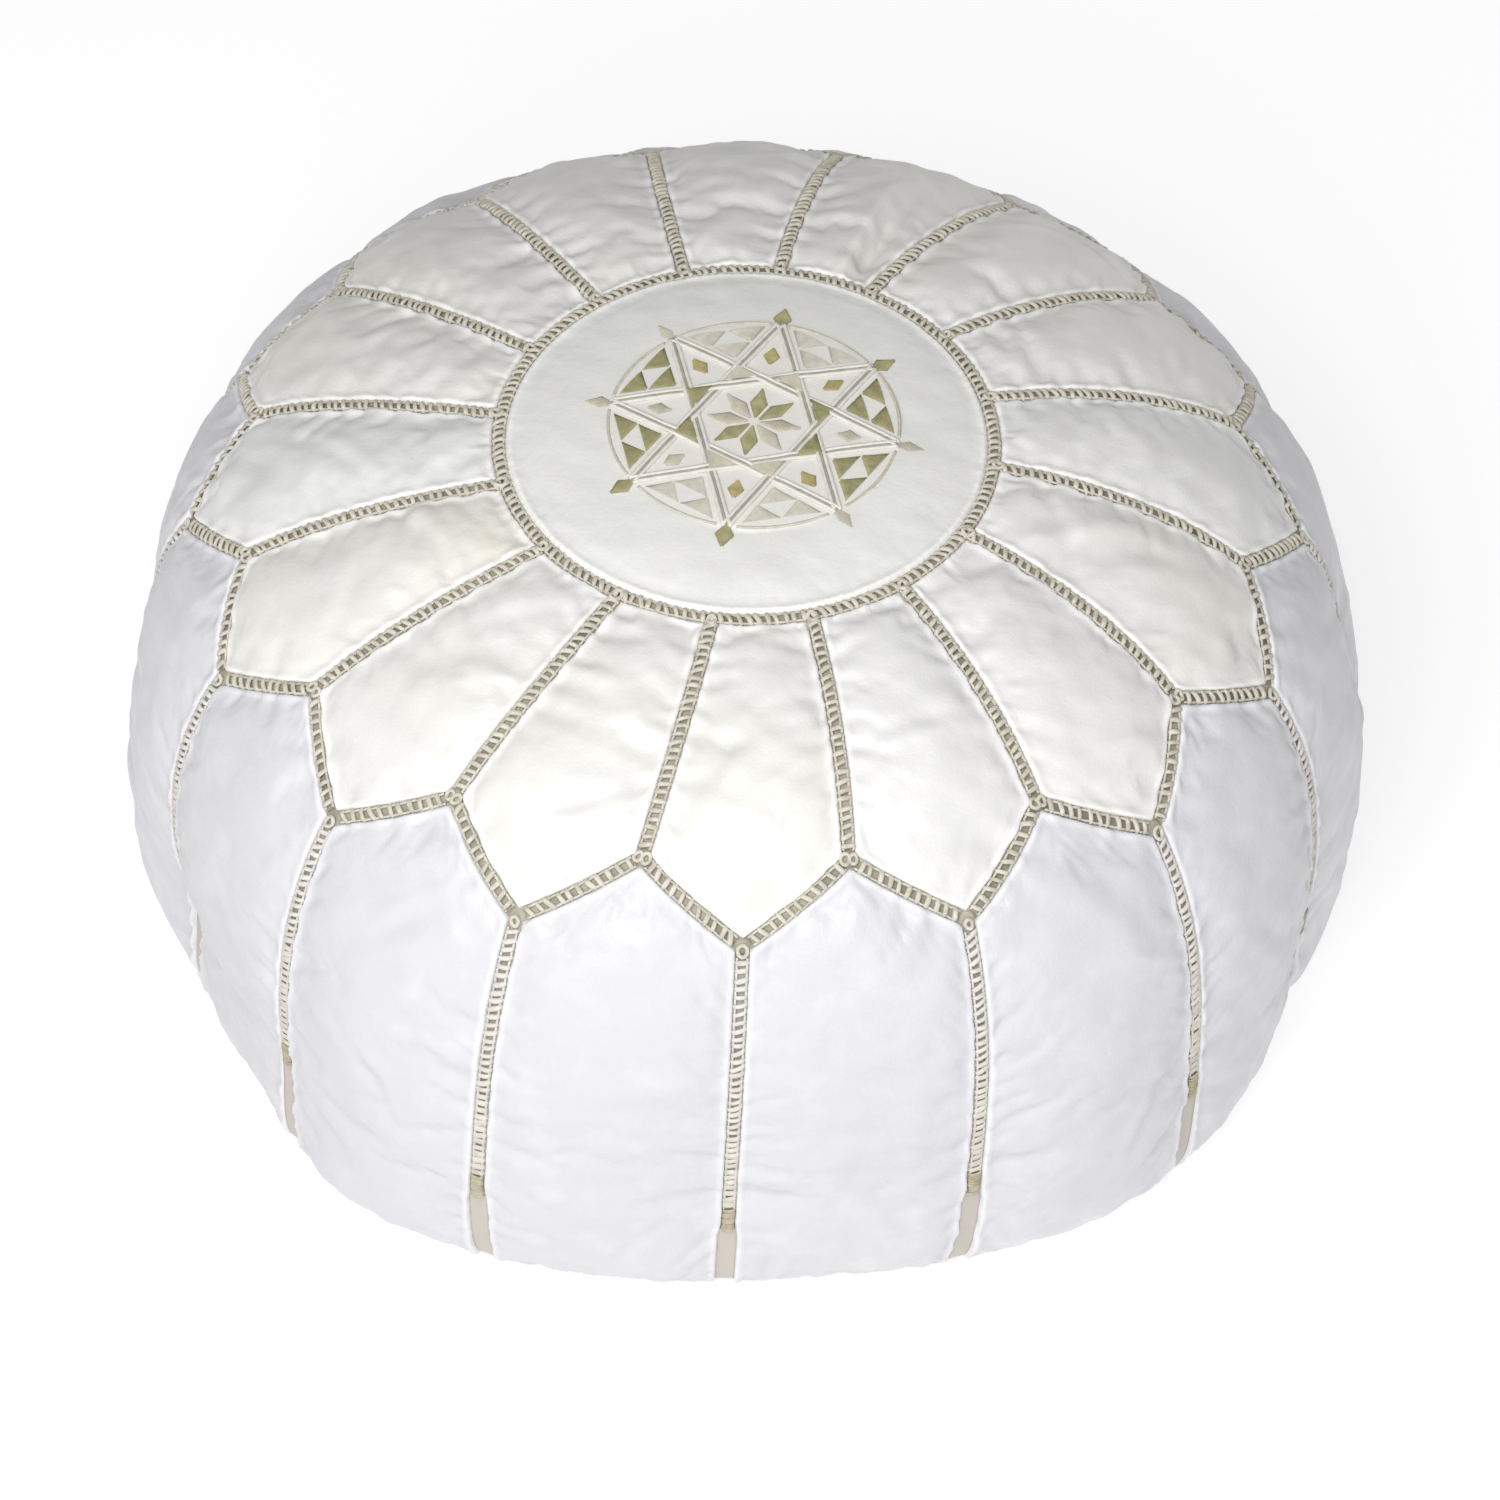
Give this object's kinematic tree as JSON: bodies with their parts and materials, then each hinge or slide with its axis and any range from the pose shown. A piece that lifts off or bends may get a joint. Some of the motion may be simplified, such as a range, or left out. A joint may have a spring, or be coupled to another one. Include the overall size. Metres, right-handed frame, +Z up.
{
  "type": "leather pouf",
  "caption": "Round stitched-leather pouf with an embroidered top medallion, staggered side panels, a firm filling and a zipped base; used as a footrest or low seat.",
  "frame": {"origin": "middle of the base, on the floor", "axes": "+Z up through the middle of the medallion; -Y towards the front; X along the zip in the base"},
  "size_m": [0.5554, 0.5554, 0.2818],
  "materials": {
    "upper_leather": "warm off-white sheepskin, fine grain, soft satin",
    "medallion_leather": "off-white sheepskin, fine grain, soft satin, worked with thread",
    "lower_leather": "cool white sheepskin, fine grain, soft satin",
    "strip_leather": "thin beige-grey leather strip, matt",
    "waxed_thread": "beige waxed thread, whipped close together",
    "needlework_thread": "olive and beige silky thread",
    "zip_tape": "woven cotton tape",
    "zip_metal": "dull brass",
    "stuffing": "packed cotton and cloth scraps"
  },
  "bodies": {
    "pouf": {"top_medallion": "medallion_leather", "medallion_strip": "strip_leather", "medallion_stitching": "waxed_thread", "medallion_needlework": "needlework_thread", "upper_panel_01": "upper_leather", "upper_panel_02": "upper_leather", "upper_panel_03": "upper_leather", "upper_panel_04": "upper_leather", "upper_panel_05": "upper_leather", "upper_panel_06": "upper_leather", "upper_panel_07": "upper_leather", "upper_panel_08": "upper_leather", "upper_panel_09": "upper_leather", "upper_panel_10": "upper_leather", "upper_panel_11": "upper_leather", "upper_panel_12": "upper_leather", "upper_panel_13": "upper_leather", "upper_panel_14": "upper_leather", "upper_panel_15": "upper_leather", "upper_panel_16": "upper_leather", "lower_panel_01": "lower_leather", "lower_panel_02": "lower_leather", "lower_panel_03": "lower_leather", "lower_panel_04": "lower_leather", "lower_panel_05": "lower_leather", "lower_panel_06": "lower_leather", "lower_panel_07": "lower_leather", "lower_panel_08": "lower_leather", "lower_panel_09": "lower_leather", "lower_panel_10": "lower_leather", "lower_panel_11": "lower_leather", "lower_panel_12": "lower_leather", "lower_panel_13": "lower_leather", "lower_panel_14": "lower_leather", "lower_panel_15": "lower_leather", "lower_panel_16": "lower_leather", "seam_strip_1": "strip_leather", "seam_strip_2": "strip_leather", "seam_strip_3": "strip_leather", "seam_strip_4": "strip_leather", "seam_stitching_1": "waxed_thread", "seam_stitching_2": "waxed_thread", "seam_stitching_3": "waxed_thread", "seam_stitching_4": "waxed_thread", "base_panel_front": "lower_leather", "base_panel_back": "lower_leather", "base_stitching": "waxed_thread", "zip_tape_front": "zip_tape", "zip_tape_back": "zip_tape", "zip_teeth_front": "zip_metal", "zip_teeth_back": "zip_metal", "zip_stop_closed_end": "zip_metal", "zip_stop_open_end": "zip_metal", "filling": "stuffing"},
    "slider": {"zip_slider": "zip_metal"},
    "tab": {"pull_tab": "zip_metal"}
  },
  "joints": [
    {"name": "zip_travel", "type": "slide", "parent": "pouf", "child": "slider", "axis": [-1, 0, 0], "range_m": [0, 0.3872]},
    {"name": "tab_flip", "type": "hinge", "parent": "slider", "child": "tab", "pos_m": [0.1936, 0, 0.0031], "axis": [0, -1, 0], "range_deg": [0, 180]}
  ]
}
